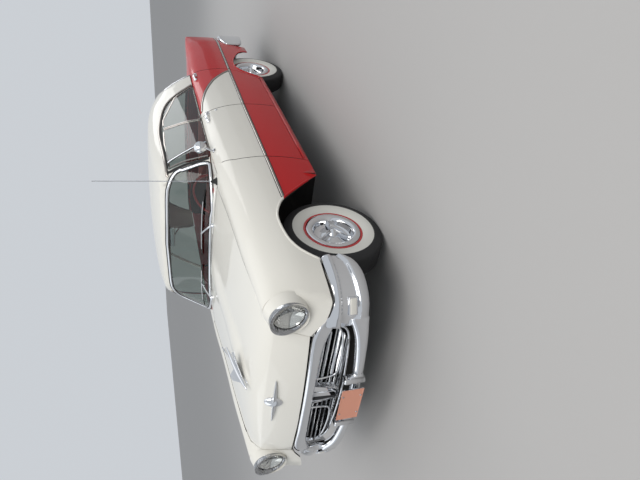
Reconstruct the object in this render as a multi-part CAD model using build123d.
from build123d import *
from math import cos, radians, sin
import os

os.makedirs("parts", exist_ok=True)

# Four-door hardtop sedan of the mid 1950s, in millimetres.
# Front faces -Y, the driver's side is +X, the ground is Z 0.

# Driving dimensions
FRONT_AXLE_Y = -1753
REAR_AXLE_Y = 1346
TYRE_RADIUS = 348
TYRE_WIDTH = 192
WHEEL_X = 745
RIM_RADIUS = 206
BODY_BOTTOM = 325
SKIN = 16
DOOR_THICK = 64
GAP = 7
DOOR_GAP = 8
BELT_Z = 1049
GLASS_BOTTOM = 1056
GLASS_THICK = 6
FRONT_DOOR_Y = -975
REAR_DOOR_Y = 985
HOOD_REAR_Y = -1070
LID_FRONT_Y = 1375
LIP_Z = 690

# Body sections along Y: widest point of the side, crest of the fender,
# shut line of hood or lid, height on the middle line.
SECTION_COLUMNS = ("y", "side_x", "side_z", "crest_x", "crest_z", "shut_x", "shut_z", "mid_z")
SECTIONS = (
    (-2560, 835, 650, 735, 925, 600, 600, 690),
    (-2500, 848, 660, 738, 950, 606, 760, 850),
    (-2440, 868, 670, 742, 960, 614, 868, 926),
    (-2340, 912, 682, 748, 966, 648, 930, 980),
    (-2180, 949, 692, 758, 975, 688, 958, 1006),
    (-1850, 970, 700, 778, 995, 704, 984, 1027),
    (-1400, 980, 700, 805, 1012, 720, 1006, 1054),
    (-950, 984, 700, 832, 1036, 740, 1036, 1082),
    (-300, 980, 700, 852, 1046, 760, 1050, 1090),
    (400, 968, 700, 852, 1045, 740, 1052, 1090),
    (900, 951, 702, 850, 1048, 700, 1054, 1084),
    (1300, 938, 715, 836, 1040, 655, 1050, 1070),
    (1700, 922, 728, 824, 1018, 650, 1016, 1046),
    (2050, 898, 730, 822, 1006, 650, 976, 1006),
    (2300, 850, 722, 826, 986, 645, 922, 950),
    (2430, 821, 716, 815, 970, 640, 868, 896),
    (2510, 802, 712, 798, 956, 636, 812, 842),
    (2570, 787, 708, 784, 940, 630, 750, 780),
)

# Greenhouse plan outlines by height: side, windscreen end, rear window end.
CABIN_COLUMNS = ("z", "side_x", "front_y", "front_x", "corner_y", "side_y0",
                 "side_y1", "rear_x", "rear_corner_y", "rear_y")
CABIN = (
    (1000, 868, -1075, 600, -950, -640, 890, 640, 1270, 1365),
    (1200, 800, -895, 540, -800, -590, 865, 600, 1160, 1240),
    (1400, 698, -714, 470, -675, -540, 810, 520, 1030, 1085),
    (1580, 606, -552, 400, -540, -470, 730, 440, 930, 960),
)

# Roof crown along Y: height at the drip rail and on the middle line.
CROWN_COLUMNS = ("y", "rail_z", "mid_z")
CROWN = (
    (-1150, 1110, 1230),
    (-900, 1255, 1360),
    (-715, 1340, 1440),
    (-480, 1388, 1495),
    (-150, 1404, 1524),
    (250, 1411, 1531),
    (620, 1394, 1513),
    (900, 1348, 1462),
    (1110, 1285, 1392),
    (1420, 1150, 1270),
)
RAIL_X = 705
FLAT_X = 540
FLAT_DROP = 20
FOOT_X = 900
FOOT_Z = 800


def block(x0, x1, y0, y1, z0, z1):
    return Pos((x0 + x1) / 2, (y0 + y1) / 2, (z0 + z1) / 2) * Box(x1 - x0, y1 - y0, z1 - z0)


def side_prism(points, x0, x1, radius=0):
    """Prism across the car from an outline of (y, z) points."""
    face = Polygon(*points, align=None)
    if radius:
        face = fillet(face.vertices(), radius)
    return extrude(Plane(origin=(x0, 0, 0), x_dir=(0, 1, 0), z_dir=(1, 0, 0)) * face, x1 - x0, dir=(1, 0, 0))


def plan_prism(points, z0, z1, radius=0):
    """Upright prism from an outline of (x, y) points."""
    face = Polygon(*points, align=None)
    if radius:
        face = fillet(face.vertices(), radius)
    return extrude(Pos(0, 0, z0) * face, z1 - z0, dir=(0, 0, 1))


def front_prism(points, y0, y1, radius=0):
    """Prism along the car from an outline of (x, z) points."""
    face = Polygon(*points, align=None)
    if radius:
        face = fillet(face.vertices(), radius)
    return extrude(Plane(origin=(0, y1, 0), x_dir=(1, 0, 0), z_dir=(0, -1, 0)) * face, y1 - y0, dir=(0, -1, 0))


def both_sides(points):
    """Closed outline from the right half of it, mirrored about x 0."""
    return list(points) + [(-x, y) for x, y in reversed(points) if x > 0]


def smooth_row(rows, at):
    """Row of a table at a place between its rows, by cubics that never overshoot."""
    count = len(rows)
    spans = [rows[i + 1][0] - rows[i][0] for i in range(count - 1)]
    i = max(j for j in range(count - 1) if j == 0 or rows[j][0] <= at)
    t = (at - rows[i][0]) / spans[i]
    values = [at]
    for column in range(1, len(rows[0])):
        f = [row[column] for row in rows]
        rise = [(f[j + 1] - f[j]) / spans[j] for j in range(count - 1)]
        slope = [rise[0]] + [0.0] * (count - 2) + [rise[-1]]
        for j in range(1, count - 1):
            if rise[j - 1] * rise[j] > 0:
                slope[j] = 2 * rise[j - 1] * rise[j] / (rise[j - 1] + rise[j])
        a = (2 * t**3 - 3 * t**2 + 1) * f[i] + (t**3 - 2 * t**2 + t) * spans[i] * slope[i]
        b = (3 * t**2 - 2 * t**3) * f[i + 1] + (t**3 - t**2) * spans[i] * slope[i + 1]
        values.append(a + b)
    return values


def stations(first, last, count, crowding):
    """Places from first to last, closer together near both ends."""
    middle = (first + last) / 2
    half = (last - first) / 2
    steps = [2 * i / (count - 1) - 1 for i in range(count)]
    return [middle + half * ((1 + crowding) * u - crowding * u**3) for u in steps]


def body_section(row, inset):
    y, side_x, side_z, crest_x, crest_z, shut_x, shut_z, mid_z = row
    bottom = BODY_BOTTOM - (120 if inset else 0)
    side_x = side_x - inset
    crest_x = min(crest_x - inset * 0.5, side_x - 3)
    crest_z = crest_z - inset
    shut_z = shut_z - inset
    mid_z = mid_z - inset
    foot_x = side_x - 45
    edge_x = crest_x + 0.72 * (side_x - crest_x)
    edge_z = crest_z - 0.3 * (crest_z - side_z)
    with BuildSketch(Plane(origin=(0, y, 0), x_dir=(1, 0, 0), z_dir=(0, -1, 0))) as sketch:
        with BuildLine():
            Line((-foot_x, bottom), (foot_x, bottom))
            for s in (1, -1):
                lower = ThreePointArc((s * foot_x, bottom), (s * (side_x - 12), side_z - 190), (s * side_x, side_z))
                upper = TangentArc((s * side_x, side_z), (s * edge_x, edge_z), tangent=(0, 1))
                TangentArc((s * edge_x, edge_z), (s * crest_x, crest_z), tangent=upper % 1)
                ThreePointArc(
                    (s * crest_x, crest_z),
                    (s * (crest_x + shut_x) / 2, (crest_z + shut_z) / 2 + 0.06 * (crest_x - shut_x)),
                    (s * shut_x, shut_z),
                )
            ThreePointArc((shut_x, shut_z), (0, mid_z), (-shut_x, shut_z))
        make_face()
    return sketch.sketch


def body_loft(inset):
    places = stations(SECTIONS[0][0], SECTIONS[-1][0], 33, 0.34)
    return loft([body_section(smooth_row(SECTIONS, y), inset) for y in places])


def end_cutter(inset):
    """All that lies behind the leaning nose face and ahead of the tail face."""
    sections = []
    for z, nose, tail in ((150, -2680, 2440), (1150, -2382, 2520)):
        with BuildSketch(Plane.XY.offset(z)) as sketch:
            with BuildLine():
                half = 1000
                n = nose + inset
                t = tail - inset
                ThreePointArc((-half, n + 118), (0, n), (half, n + 118))
                Line((half, n + 118), (half, t - 96))
                ThreePointArc((half, t - 96), (0, t), (-half, t - 96))
                Line((-half, t - 96), (-half, n + 118))
            make_face()
        sections.append(sketch.sketch)
    return loft(sections, ruled=True)


def cabin_section(row, inset):
    z, side_x, front_y, front_x, corner_y, side_y0, side_y1, rear_x, rear_corner_y, rear_y = row
    side_x -= inset
    front_y += inset
    corner_y += inset
    rear_corner_y -= inset
    rear_y -= inset
    with BuildSketch(Plane.XY.offset(z)) as sketch:
        with BuildLine():
            front = ThreePointArc((-front_x, corner_y), (0, front_y), (front_x, corner_y))
            TangentArc((front_x, corner_y), (side_x, side_y0), tangent=front % 1)
            TangentArc((-front_x, corner_y), (-side_x, side_y0), tangent=-(front % 0))
            Line((side_x, side_y0), (side_x, side_y1))
            Line((-side_x, side_y0), (-side_x, side_y1))
            rear = ThreePointArc((-rear_x, rear_corner_y), (0, rear_y), (rear_x, rear_corner_y))
            TangentArc((rear_x, rear_corner_y), (side_x, side_y1), tangent=rear % 1)
            TangentArc((-rear_x, rear_corner_y), (-side_x, side_y1), tangent=-(rear % 0))
        make_face()
    return sketch.sketch


def cabin_loft(inset):
    return loft([cabin_section(row, inset) for row in CABIN])


def crown_solid(inset):
    sections = []
    for place in stations(CROWN[0][0], CROWN[-1][0], 11, 0):
        y, edge_z, mid_z = smooth_row(CROWN, place)
        with BuildSketch(Plane(origin=(0, y, 0), x_dir=(1, 0, 0), z_dir=(0, -1, 0))) as sketch:
            with BuildLine():
                rail = edge_z - inset
                rail_x = RAIL_X - 0.6 * inset
                top = mid_z - inset
                flat = top - FLAT_DROP
                Line((-FOOT_X, FOOT_Z), (FOOT_X, FOOT_Z))
                Line((FOOT_X, FOOT_Z), (FOOT_X, rail - 200))
                Line((FOOT_X, rail - 200), (rail_x, rail))
                crown = ThreePointArc((FLAT_X, flat), (0, top), (-FLAT_X, flat))
                TangentArc((FLAT_X, flat), (rail_x, rail), tangent=(crown % 0) * -1)
                TangentArc((-FLAT_X, flat), (-rail_x, rail), tangent=crown % 1)
                Line((-rail_x, rail), (-FOOT_X, rail - 200))
                Line((-FOOT_X, rail - 200), (-FOOT_X, FOOT_Z))
            make_face()
        sections.append(sketch.sketch)
    return loft(sections)


def save(shape, name):
    solids = shape.solids()
    if len(solids) > 1:
        solids = sorted(solids, key=lambda s: -s.volume)
    solid = solids[0]
    if len(solids) > 1 and solids[1].volume > 500:
        print("more than one solid:", name, [round(s.volume) for s in solids])
    export_step(solid, f"parts/{name}.step")
    box = solid.bounding_box()
    print(name, round(solid.volume), [round(v) for v in (*box.min, *box.max)], solid.is_valid)
    return solid


def save_pair(shape, name, pair=("left", "right")):
    """Left piece as built, right piece as its mirror image."""
    save(shape, f"{name}_{pair[0]}")
    save(mirror(shape, about=Plane.YZ), f"{name}_{pair[1]}")


# Body volumes
body = body_loft(0) & end_cutter(0)
body_hollow = body_loft(SKIN)
body_skin = body - (body_hollow & end_cutter(SKIN))
body_wall = body - body_loft(DOOR_THICK)
body_core = body_loft(SKIN + 6)
body_band = body - body_core
body_inside = body_loft(4)
cabin = cabin_loft(0) & crown_solid(0)
CABIN_WALL = 30
cabin_wall = cabin - (cabin_loft(CABIN_WALL) & crown_solid(CABIN_WALL - 6))
glass_outer = cabin_loft(2) & crown_solid(2)
cabin_glass = glass_outer - (cabin_loft(2 + GLASS_THICK) & crown_solid(2 + GLASS_THICK))

# Openings cut through the body
ARCH_FRONT = ((-2200, 200), (-2190, 570), (-2150, 628), (-2080, 690), (-1983, 730), (-1850, 748),
              (-1740, 746), (-1640, 714), (-1553, 661), (-1195, 315), (-1195, 200))
ARCH_REAR = ((860, 200), (860, 340), (930, 470), (1000, 540), (1135, 577), (1295, 562), (1495, 508),
             (1640, 450), (1730, 370), (1750, 330), (1750, 200))
front_arch = side_prism(ARCH_FRONT, 560, 1100)
rear_arch = side_prism(ARCH_REAR, 560, 1100)
HOOD_EDGE = ((586, -2700), (590, -2480), (612, -2440), (617, -2390), (640, -2345), (668, -2300), (692, -2180),
             (704, -1850), (720, -1400), (738, -985), (400, HOOD_REAR_Y + 30), (0, HOOD_REAR_Y))
LID_EDGE = ((0, LID_FRONT_Y), (400, LID_FRONT_Y - 12), (648, LID_FRONT_Y - 70), (650, 2050), (640, 2430),
            (630, 2700))
NOSE_BOTTOM = ((0, 684), (500, 684), (565, 680), (640, 653), (705, 606), (775, 588), (835, 579), (885, 584),
               (920, 590), (1010, 594), (1010, 100))
nose_bottom = front_prism(both_sides(NOSE_BOTTOM), -2700, -2170)
CABIN_HOLE = ((0, -985), (560, -905), (760, -760), (836, -640), (838, 700), (836, 905), (770, 1120),
              (600, 1230), (0, 1290))
cabin_hole = plan_prism(both_sides(CABIN_HOLE), 100, 1500)

# Door cuts as (y, z) points from the belt down
DOOR_FOOT = BODY_BOTTOM + 45
DOOR_IN_X = 838
FRONT_CUT = ((-812, 1300), (-812, 1060), (-845, 1037), (-915, 994), (-960, 904), (FRONT_DOOR_Y, 800),
             (FRONT_DOOR_Y, DOOR_FOOT))
SPLIT_CUT = ((-36, 1300), (-36, 1060), (-20, 956), (-3, 840), (16, 704), (40, 515), (56, DOOR_FOOT))
REAR_CUT = ((REAR_DOOR_Y, 1300), (REAR_DOOR_Y, 745), (975, 690), (960, 640), (935, 580), (890, 510),
            (830, 400), (810, DOOR_FOOT))


def moved(cut, shift):
    return [(y + shift, z) for y, z in cut]


def hood_prism(grow):
    sides = [(x + grow, y + (grow if y > -1200 else 0)) for x, y in HOOD_EDGE[:-2]]
    rear = [(x, y + grow) for x, y in HOOD_EDGE[-2:]]
    return plan_prism(both_sides(sides + rear), 600, 1400)


def lid_prism(grow):
    front = [(x, y - grow) for x, y in LID_EDGE[:2]]
    sides = [(x + grow, y - (grow if y < 1600 else 0)) for x, y in LID_EDGE[2:]]
    return plan_prism(both_sides(front + sides), 560, 1400)


# Front fenders with the wheel house behind each wheel arch
LAMP_X = 746
LAMP_Y = -2429
LAMP_Z = 823
RING_RADIUS = 121
HOUSE_X = 452
HOUSE_FRONT_Y = -2300
HOUSE_REAR_Y = -1195
HOUSE_TOP_Z = 888
COWL_Y = -963
fender_cut = moved(FRONT_CUT, -GAP / 2)
fender_zone = side_prism([(-2700, 200), (fender_cut[-1][0], 200)] + fender_cut[::-1]
                         + [(-2700, 1300)], 0, 1100)
fender = (body_skin & fender_zone) - front_arch - nose_bottom - hood_prism(GAP / 2)
fender = fender - block(0, 741, -1000, 0, 200, 1400) - block(0, 840, COWL_Y, 0, 200, 1400)
fender = fender - block(0, 700, -1100, 0, 900, 1400)
house = block(HOUSE_X, HOUSE_X + 8, HOUSE_FRONT_Y, -975, 400, HOUSE_TOP_Z)
house = house - block(HOUSE_X - 5, HOUSE_X + 15, FRONT_AXLE_Y - 60, FRONT_AXLE_Y + 60, 300, 500)
house = house + block(HOUSE_X, 1000, HOUSE_FRONT_Y, HOUSE_REAR_Y, HOUSE_TOP_Z - 8, HOUSE_TOP_Z)
house = house + block(HOUSE_X, 1000, HOUSE_FRONT_Y, HOUSE_FRONT_Y + 8, 600, HOUSE_TOP_Z)
house = house + block(HOUSE_X, 1000, HOUSE_REAR_Y, HOUSE_REAR_Y + 8, 330, HOUSE_TOP_Z)
fender = fender + (house & body_inside)
fender = fender - Pos(LAMP_X, LAMP_Y, LAMP_Z) * Rot(90, 0, 0) * Cylinder(RING_RADIUS + 2, 300)
save_pair(fender, "front_fender")

# Hood
hood = (body_skin & hood_prism(-GAP / 2)) - nose_bottom - block(-900, 900, -2700, 0, 0, LIP_Z - 4)
BULGE = ((-2455, 50, 892), (-2380, 92, 957), (-2180, 132, 1028), (-1850, 156, 1050), (-1400, 168, 1072),
         (-1080, 176, 1090))
bulge_sections = []
for y, half_x, top_z in BULGE:
    with BuildSketch(Plane(origin=(0, y, 0), x_dir=(1, 0, 0), z_dir=(0, -1, 0))) as sketch:
        with BuildLine():
            ThreePointArc((-half_x, top_z - 34), (0, top_z), (half_x, top_z - 34))
            Line((half_x, top_z - 34), (-half_x, top_z - 34))
        make_face()
    bulge_sections.append(sketch.sketch)
bulge = loft(bulge_sections) & hood_prism(-GAP / 2)
hood = hood + (bulge - body_hollow)
save(hood, "hood")

# Cowl between hood, doors and windscreen, with the firewall under it
cowl = body_skin & (block(-736, 736, -1090, -600, 900, 1400) + block(-831, 831, COWL_Y + 6, -600, 900, 1400))
cowl = cowl - hood_prism(GAP / 2) - cabin_hole
FIREWALL_Y = -970
firewall = block(-736, 736, FIREWALL_Y, FIREWALL_Y + 14, 345, 1200) & body
firewall = firewall - plan_prism(both_sides(CABIN_HOLE), 1040, 1500) - block(-115, 115, -1000, -900, 300, 424)
cowl = cowl + firewall
save(cowl, "cowl")


# Doors: an outer band of full outline and an inner box set back at its rear edge
def door(front_cut, rear_cut):
    """Door between two cuts."""
    outline = front_cut[::-1] + rear_cut
    outer = body_band & side_prism(outline, 0, 1100)
    inner_outline = moved(front_cut, 4)[::-1] + moved(rear_cut, -16)
    inner = (body_wall & body_core) & side_prism(inner_outline, 0, 1100)
    inner = inner & block(0, 1100, -2000, 2000, DOOR_FOOT + 6, 1300)
    return (outer + inner) & block(DOOR_IN_X, 1100, -2000, 2000, 200, BELT_Z)


save_pair(door(moved(FRONT_CUT, GAP / 2), moved(SPLIT_CUT, -DOOR_GAP / 2)), "front_door")
save_pair(door(moved(SPLIT_CUT, DOOR_GAP / 2), moved(REAR_CUT, -DOOR_GAP / 2)), "rear_door")

# Rear quarters, cut round the wheel, the tail lamp and the bumper's end
TAIL_X = 745
TAIL_Z = 690
POD_RADIUS = 57
BUMPER_CUT = ((1950, 200), (1950, 500), (1958, 552), (2045, 599), (2130, 607), (2700, 607), (2700, 200))
quarter_zone = side_prism(moved(REAR_CUT, DOOR_GAP / 2) + [(814, 200), (2700, 200), (2700, 1300)], 0, 1100)
quarter = (body_skin & quarter_zone) - rear_arch - lid_prism(GAP / 2) - cabin_hole
quarter = quarter - block(-10, 650, 0, 2700, 200, 1400) - side_prism(BUMPER_CUT, 600, 1100)
quarter = quarter - Pos(TAIL_X, 2450, TAIL_Z) * Rot(90, 0, 0) * Cylinder(POD_RADIUS + 3, 300)
save_pair(quarter, "rear_quarter")

# Trunk lid
lid = (body_skin & lid_prism(-GAP / 2)) - block(-1100, 1100, 0, 2700, 0, 636)
lid = lid - block(-1100, 1100, 0, LID_FRONT_Y - 90, 0, 2000)
save(lid, "trunk_lid")

# Roof with its front and rear pillars
SIDE_WINDOW = ((-684, 1000), (-678, 1077), (-652, 1153), (-627, 1238), (-610, 1316), (-598, 1372), (-570, 1386),
               (-300, 1392), (0, 1392), (252, 1378), (430, 1350), (550, 1302), (636, 1216), (688, 1133),
               (742, 1064), (760, 1000))
side_window = side_prism(SIDE_WINDOW, 560, 1100)
side_window = side_window + mirror(side_window, about=Plane.YZ)
SCREEN_TOP = ((0, 1424), (433, 1408), (522, 1400), (581, 1381), (629, 1359), (670, 1326), (700, 1285),
              (1000, 1285), (1000, 900))
SCREEN_EDGE = ((-1200, 900), (-735, 900), (-722, 1056), (-700, 1087), (-680, 1132), (-664, 1194), (-645, 1263),
               (-633, 1326), (-628, 1400), (-600, 1500), (-1200, 1500))
screen_zone = front_prism(both_sides(SCREEN_TOP), -1200, 0) & side_prism(SCREEN_EDGE, -1100, 1100)
BACK_TOP = ((0, 1398), (250, 1394), (450, 1380), (600, 1352), (760, 1310), (1000, 1310), (1000, 900))
back_zone = front_prism(both_sides(BACK_TOP), 800, 1600)
back_zone = back_zone & side_prism(((1030, 900), (962, 1400), (962, 1500), (1600, 1500), (1600, 900)),
                                   -1100, 1100)
above_belt = block(-1100, 1100, -1300, 1600, GLASS_BOTTOM, 1700)
roof = cabin_wall & above_belt
roof = roof - side_window - screen_zone - back_zone - body
save(roof, "roof")

# Window glass
screen_glass = (cabin_glass & screen_zone & above_belt) - body
save(screen_glass, "windscreen")
back_glass = (cabin_glass & back_zone & above_belt) - body
save(back_glass, "rear_window")
PANE_GAP = 9
pane_face = offset(Polygon(*SIDE_WINDOW, align=None), -PANE_GAP, kind=Kind.INTERSECTION)
pane = extrude(Plane(origin=(560, 0, 0), x_dir=(0, 1, 0), z_dir=(1, 0, 0)) * pane_face, 540, dir=(1, 0, 0))
pane = (cabin_glass & pane) & block(0, 1100, -1300, 1600, GLASS_BOTTOM, 1500)
front_pane_zone = side_prism(((-900, 1000), (-900, 1500), (98, 1500), (-61, 1000)), 560, 1100)
rear_pane_zone = side_prism(((-51, 1000), (108, 1500), (1000, 1500), (1000, 1000)), 560, 1100)
save_pair(pane & front_pane_zone, "front_door_glass")
save_pair(pane & rear_pane_zone, "rear_door_glass")


# Bumpers: lofts of rounded sections set square to a bent path
def bar_section(x, y, turn, low, high, deep, lean=0, round_=0.45):
    """Rounded bar section at (x, y), turned about Z, from low to high, deep back from its face."""
    height = high - low
    plane = Plane(origin=(x, y, (low + high) / 2), x_dir=(cos(radians(turn + 90)), sin(radians(turn + 90)), 0),
                  z_dir=(cos(radians(turn)), sin(radians(turn)), 0))
    outline = RectangleRounded(deep, height, min(deep, height) * round_)
    return plane * Pos(deep / 2, 0) * outline


BAR_COLUMNS = ("x", "y", "turn", "low", "high", "depth")
UPPER_BAR = (
    (0, -2534, 0, 610, 676, 46),
    (300, -2524, 3, 604, 676, 48),
    (486, -2498, 9, 585, 674, 54),
    (580, -2485, 13, 556, 667, 62),
    (645, -2473, 17, 530, 640, 66),
    (705, -2455, 22, 508, 596, 66),
)
LOWER_BAR = (
    (0, -2560, 0, 302, 366, 60),
    (240, -2554, 3, 302, 369, 62),
    (480, -2530, 8, 306, 384, 64),
    (600, -2505, 13, 309, 408, 66),
    (690, -2478, 20, 311, 440, 66),
)
CORNER_COLUMNS = ("x", "y", "turn", "low", "lip", "ridge", "high", "depth")
CORNER = (
    (645, -2490, 15, 311, 384, 506, 612, 64),
    (740, -2464, 24, 313, 382, 506, 583, 62),
    (835, -2405, 40, 316, 387, 506, 571, 60),
    (900, -2320, 62, 325, 400, 508, 576, 56),
    (938, -2230, 75, 350, 420, 514, 579, 50),
    (955, -2165, 80, 424, 462, 522, 570, 40),
)


def corner_section(x, y, turn, low, lip, ridge, high, deep):
    """Corner of the bumper: a ridge, a band set back under it, and a lower lip."""
    plane = Plane(origin=(x, y, 0), x_dir=(cos(radians(turn + 90)), sin(radians(turn + 90)), 0),
                  z_dir=(cos(radians(turn)), sin(radians(turn)), 0))
    back = 34 * deep / 64
    with BuildSketch(plane) as sketch:
        with BuildLine():
            ThreePointArc((back, high), (back * 0.3, (high + ridge) / 2 + 6), (0, ridge))
            Line((0, ridge), (12, ridge - 10))
            Line((12, ridge - 10), (20, lip + 12))
            Line((20, lip + 12), (2, lip))
            ThreePointArc((2, lip), (6, (lip + low) / 2), (back, low))
            Line((back, low), (deep, low))
            Line((deep, low), (deep, high))
            Line((deep, high), (back, high))
        make_face()
    return sketch.sketch


def mirrored_rows(rows):
    left = [(-x, y, -t, lo, hi, d) for x, y, t, lo, hi, d in reversed(rows[1:])]
    return left + list(rows)


def bar(rows, count=17):
    """Loft along X through evenly spaced sections read from a table of rows."""
    step = (rows[-1][0] - rows[0][0]) / (count - 1)
    return loft([bar_section(*smooth_row(rows, rows[0][0] + i * step)) for i in range(count)])


upper = bar(mirrored_rows(UPPER_BAR))
lower = bar(mirrored_rows(LOWER_BAR))
corner = loft([corner_section(*row) for row in CORNER])
front_bumper = upper + lower + corner + mirror(corner, about=Plane.YZ)
for x in (-222, 222):
    guard = Pos(x, -2552, 370) * Box(42, 62, 140)
    guard = fillet(guard.edges().filter_by(Axis.Z), 16)
    guard = fillet(guard.faces().sort_by(Axis.Z)[-1].edges(), 12)
    front_bumper = front_bumper + guard
plate = block(-152, 152, -2583, -2575, 293, 444)
front_bumper = front_bumper + plate + block(-40, 40, -2576, -2540, 310, 360)
save(front_bumper, "front_bumper")

# Grille: back plate, bars and the middle post
back_plate = front_prism(both_sides(((0, 640), (480, 625), (560, 585), (600, 500), (560, 420), (480, 392), (0, 376))),
                         -2412, -2396)
grille = back_plate
for z in (400, 432, 464, 496, 528, 560, 592):
    half = 600 - abs(z - 496) * 1.3
    bar_piece = block(-half, half, -2440, -2404, z, z + 9)
    grille = grille + bar_piece
post = front_prism(((-60, 600), (60, 600), (34, 420), (-34, 420)), -2490, -2404)
grille = grille + post
save(grille, "grille")

# Rear bumper
REAR_BAR = (
    (0, 2576, 0, 320, 520, 60),
    (230, 2572, -2, 320, 521, 60),
    (450, 2558, -6, 319, 525, 60),
    (630, 2524, -16, 318, 540, 60),
    (768, 2466, -30, 318, 568, 58),
    (848, 2392, -52, 320, 590, 54),
    (890, 2290, -70, 326, 597, 50),
    (906, 2170, -83, 334, 598, 46),
    (909, 2060, -89, 344, 588, 42),
    (905, 1962, -92, 385, 542, 34),
)


def rear_section(x, y, turn, low, high, deep):
    height = high - low
    plane = Plane(origin=(x, y, (low + high) / 2), x_dir=(-cos(radians(turn + 90)), -sin(radians(turn + 90)), 0),
                  z_dir=(cos(radians(turn)), sin(radians(turn)), 0))
    return plane * Pos(deep / 2, 0) * RectangleRounded(deep, height, min(deep, height) * 0.42)


rear_bumper = loft([rear_section(*row) for row in mirrored_rows(REAR_BAR)])
PLATE_Y = 2583
PLATE_Z = 422.5
bracket = block(-160, 160, PLATE_Y - 30, PLATE_Y, PLATE_Z - 78, PLATE_Z + 78)
rear_bumper = rear_bumper + bracket
for x in (-89, 89):
    for z in (-60.5, 60.5):
        rear_bumper = rear_bumper - Pos(x, PLATE_Y, PLATE_Z + z) * Rot(90, 0, 0) * Cylinder(3.5, 50)
save(rear_bumper, "rear_bumper")

# Headlamps: hooded bezel ring and domed lens
ring = Pos(LAMP_X, LAMP_Y - 20, LAMP_Z) * Rot(90, 0, 0) * Cylinder(RING_RADIUS, 150)
ring = ring - Pos(LAMP_X, LAMP_Y - 60, LAMP_Z) * Rot(90, 0, 0) * Cylinder(98, 90)
visor_cut = side_prism(((-2700, 1000), (-2700, 600), (-2452, 600), (-2452, 700), (-2494, 944), (-2494, 1000)), 400, 1000)
bezel = (ring - visor_cut) & block(500, 1000, -2600, LAMP_Y + 30, 600, 1000)
lens = Pos(LAMP_X, LAMP_Y + 70, LAMP_Z) * Sphere(130) & block(500, 1000, -2700, LAMP_Y - 17, 600, 1000)
save_pair(bezel, "headlamp_bezel")
save_pair(lens, "headlamp_lens")

# Tail lamps: round pods in the fender ends
pod = Pos(TAIL_X, 2412, TAIL_Z) * Rot(90, 0, 0) * Cylinder(POD_RADIUS, 110)
pod = pod & (Pos(TAIL_X, 2330, TAIL_Z) * Sphere(136))
save_pair(pod, "tail_lamp")

# Chassis frame with the front suspension arms
RAIL = ((-2400, 380), (-1300, 380), (-1150, 320), (1050, 320), (1110, 470), (1650, 470), (1850, 400),
        (2400, 400), (2400, 320), (1850, 320), (1650, 400), (1150, 400), (1070, 235), (-1150, 235),
        (-1300, 300), (-2400, 300))
frame = side_prism(RAIL, 380, 450) + side_prism(RAIL, -450, -380)
for y, low, high in ((-2380, 300, 370), (-900, 240, 310), (0, 240, 310), (950, 240, 310), (1700, 405, 455),
                     (2370, 325, 395)):
    frame = frame + block(-400, 400, y - 30, y + 30, low, high)
frame = frame + block(-470, 470, FRONT_AXLE_Y - 45, FRONT_AXLE_Y + 45, 225, 320)
for s in (1, -1):
    low_arm = block(400, 612, FRONT_AXLE_Y - 38, FRONT_AXLE_Y + 38, 222, 246)
    tower = block(392, 440, FRONT_AXLE_Y - 45, FRONT_AXLE_Y + 45, 300, 500)
    high_arm = block(400, 612, FRONT_AXLE_Y - 34, FRONT_AXLE_Y + 34, 462, 482)
    arms = low_arm + tower + high_arm
    frame = frame + (arms if s > 0 else mirror(arms, about=Plane.YZ))
save(frame, "chassis_frame")

# Engine and gearbox mass
save(block(-290, 290, -2020, -1180, 345, 890), "engine")

# Rear axle with leaf springs and propeller shaft
axle = Pos(0, REAR_AXLE_Y, TYRE_RADIUS) * Rot(0, 90, 0) * Cylinder(40, 1300)
axle = axle + Pos(0, REAR_AXLE_Y, TYRE_RADIUS) * Rot(0, 90, 0) * Cylinder(20, 2 * (WHEEL_X + 36))
axle = axle + Pos(0, REAR_AXLE_Y, TYRE_RADIUS) * Sphere(118)
SPRING = ((770, 300), (1050, 276), (1346, 268), (1650, 276), (1900, 300), (1900, 312), (1650, 290),
          (1346, 284), (1050, 290), (770, 312))
for s in (1, -1):
    spring = side_prism(SPRING, 500, 556) + block(505, 551, REAR_AXLE_Y - 45, REAR_AXLE_Y + 45, 280, 322)
    axle = axle + (spring if s > 0 else mirror(spring, about=Plane.YZ))
shaft = Pos(0, 30, 364) * Rot(90, 0, 0) * Cylinder(34, 2400)
axle = axle + shaft
save(axle, "rear_axle")

# Floor, firewall sides, wheel houses, boot floor, tank and bulkhead
TUNNEL = 115
FLOOR = ((-950, 350), (1040, 350), (1100, 540), (1560, 540), (1640, 500), (2440, 500), (2440, 512),
         (1645, 512), (1565, 552), (1092, 552), (1032, 362), (-950, 362))
floor = side_prism(FLOOR, -600, 600)
floor = floor - block(-TUNNEL, TUNNEL, -1100, 1060, 300, 400)
floor = floor + block(-TUNNEL - 12, TUNNEL + 12, -950, 1060, 424, 436)
floor = floor + block(-TUNNEL - 12, -TUNNEL, -950, 1060, 350, 436) + block(TUNNEL, TUNNEL + 12, -950, 1060, 350, 436)
sill = body_band & block(0, 1100, FRONT_DOOR_Y - GAP / 2 + 7, 807, 320, DOOR_FOOT - 7)
sill = sill + (block(590, 1100, FRONT_DOOR_Y + 32, 807, 350, 362) & body_inside)
house = block(596, 612, 980, 1790, 500, 790) + block(596, 880, 980, 1790, 778, 790)
half = sill + house
floor = floor + half + mirror(half, about=Plane.YZ)
floor = floor + block(-600, 600, 1296, 1308, 545, 1046)
floor = floor + block(-360, 360, 1850, 2300, 330, 505)
deck = (body_skin & block(-645, 645, 1230, 1400, 900, 1200)) - lid_prism(GAP / 2) - cabin_hole
floor = floor + deck
tail_panel = body_skin & block(-646, 646, 2300, 2700, 545, 630)
floor = floor + tail_panel + block(-600, 600, 2428, 2440, 500, 625)
save(floor, "body_floor")

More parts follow.
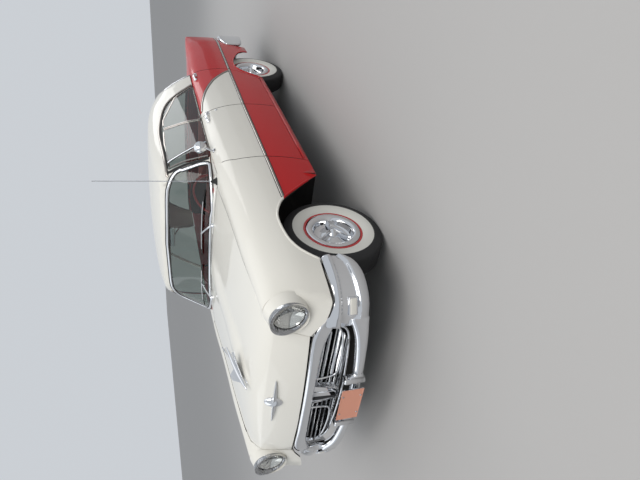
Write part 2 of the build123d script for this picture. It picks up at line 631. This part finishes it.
# Seats, dashboard and steering wheel
FRONT_SEAT = ((-170, 380), (300, 380), (430, 620), (480, 960), (440, 1000), (370, 990), (290, 660), (-160, 650),
              (-200, 600))
front_seat = side_prism(FRONT_SEAT, -640, 640) - block(-140, 140, -400, 700, 300, 448)
save(front_seat, "front_seat")
REAR_SEAT = ((700, 380), (1015, 380), (1080, 566), (1240, 566), (1278, 960), (1240, 1000), (1170, 990),
             (1080, 670), (700, 650), (670, 600))
rear_seat = side_prism(REAR_SEAT, -590, 590) - block(-140, 140, 600, 1060, 300, 448)
save(rear_seat, "rear_seat")
DASH = ((-900, 780), (-800, 780), (-760, 860), (-770, 1010), (-850, 1050), (-930, 1040))
dash = side_prism(DASH, -715, 715) & body_core
save(dash, "dashboard")
wheel_place = Pos(360, -520, 985) * Rot(62, 0, 0)
steering = wheel_place * Torus(200, 11)
steering = steering + wheel_place * Cylinder(34, 40) + wheel_place * Box(396, 24, 10)
steering = steering + wheel_place * Pos(0, 0, -115) * Cylinder(20, 230)
save(steering - block(-800, 800, -1100, -758, 600, 1100), "steering_wheel")

# Wheels, tyres and knuckles
tread = TYRE_RADIUS
half_width = TYRE_WIDTH / 2
tyre_face = make_face(
    Line((74, 200), (-74, 200)).edges()
    + ThreePointArc((-74, 200), (-half_width, 268), (-84, 328)).edges()
    + ThreePointArc((-84, 328), (-78, 341), (-64, tread)).edges()
    + Line((-64, tread), (64, tread)).edges()
    + ThreePointArc((64, tread), (78, 341), (84, 328)).edges()
    + ThreePointArc((84, 328), (half_width, 268), (74, 200)).edges()
)
tyre = revolve(tyre_face, Axis.X)
WHEEL = ((60, 0), (57, 50), (46, 58), (34, 120), (42, 155), (36, 163), (28, 170), (36, 194), (48, 198),
         (26, 198), (10, 188), (-66, 188), (-72, 198), (-78, 198), (-72, 182), (6, 182), (18, 160), (20, 100),
         (10, 60), (10, 25), (44, 25), (44, 0))
wheel = revolve(make_face(Polyline(*WHEEL, close=True).edges()), Axis.X)
for turn in (90, 210, 330):
    wheel = wheel + Rot(turn, 0, 0) * Pos(50, 62, 0) * Box(22, 124, 16)
for name, y in (("front", FRONT_AXLE_Y), ("rear", REAR_AXLE_Y)):
    place = Pos(WHEEL_X, y, TYRE_RADIUS)
    save_pair(place * tyre, f"{name}_tyre")
    save_pair(place * wheel, f"{name}_wheel")
KINGPIN_X = 640
knuckle = Pos(KINGPIN_X, FRONT_AXLE_Y, TYRE_RADIUS) * Cylinder(20, 190)
knuckle = knuckle + Pos((KINGPIN_X + WHEEL_X + 36) / 2, FRONT_AXLE_Y, TYRE_RADIUS) * Rot(0, 90, 0) * Cylinder(20, WHEEL_X + 36 - KINGPIN_X)
save_pair(knuckle, "knuckle")

# Antenna mast
mast = Pos(785, -990, 1020) * Rot(-4, 0, 0) * Pos(0, 0, 460) * Cylinder(3, 900)
mast = mast + Pos(785, -990, 1020) * Rot(-4, 0, 0) * Pos(0, 0, 16) * Cylinder(13, 24)
save(mast - body, "antenna")
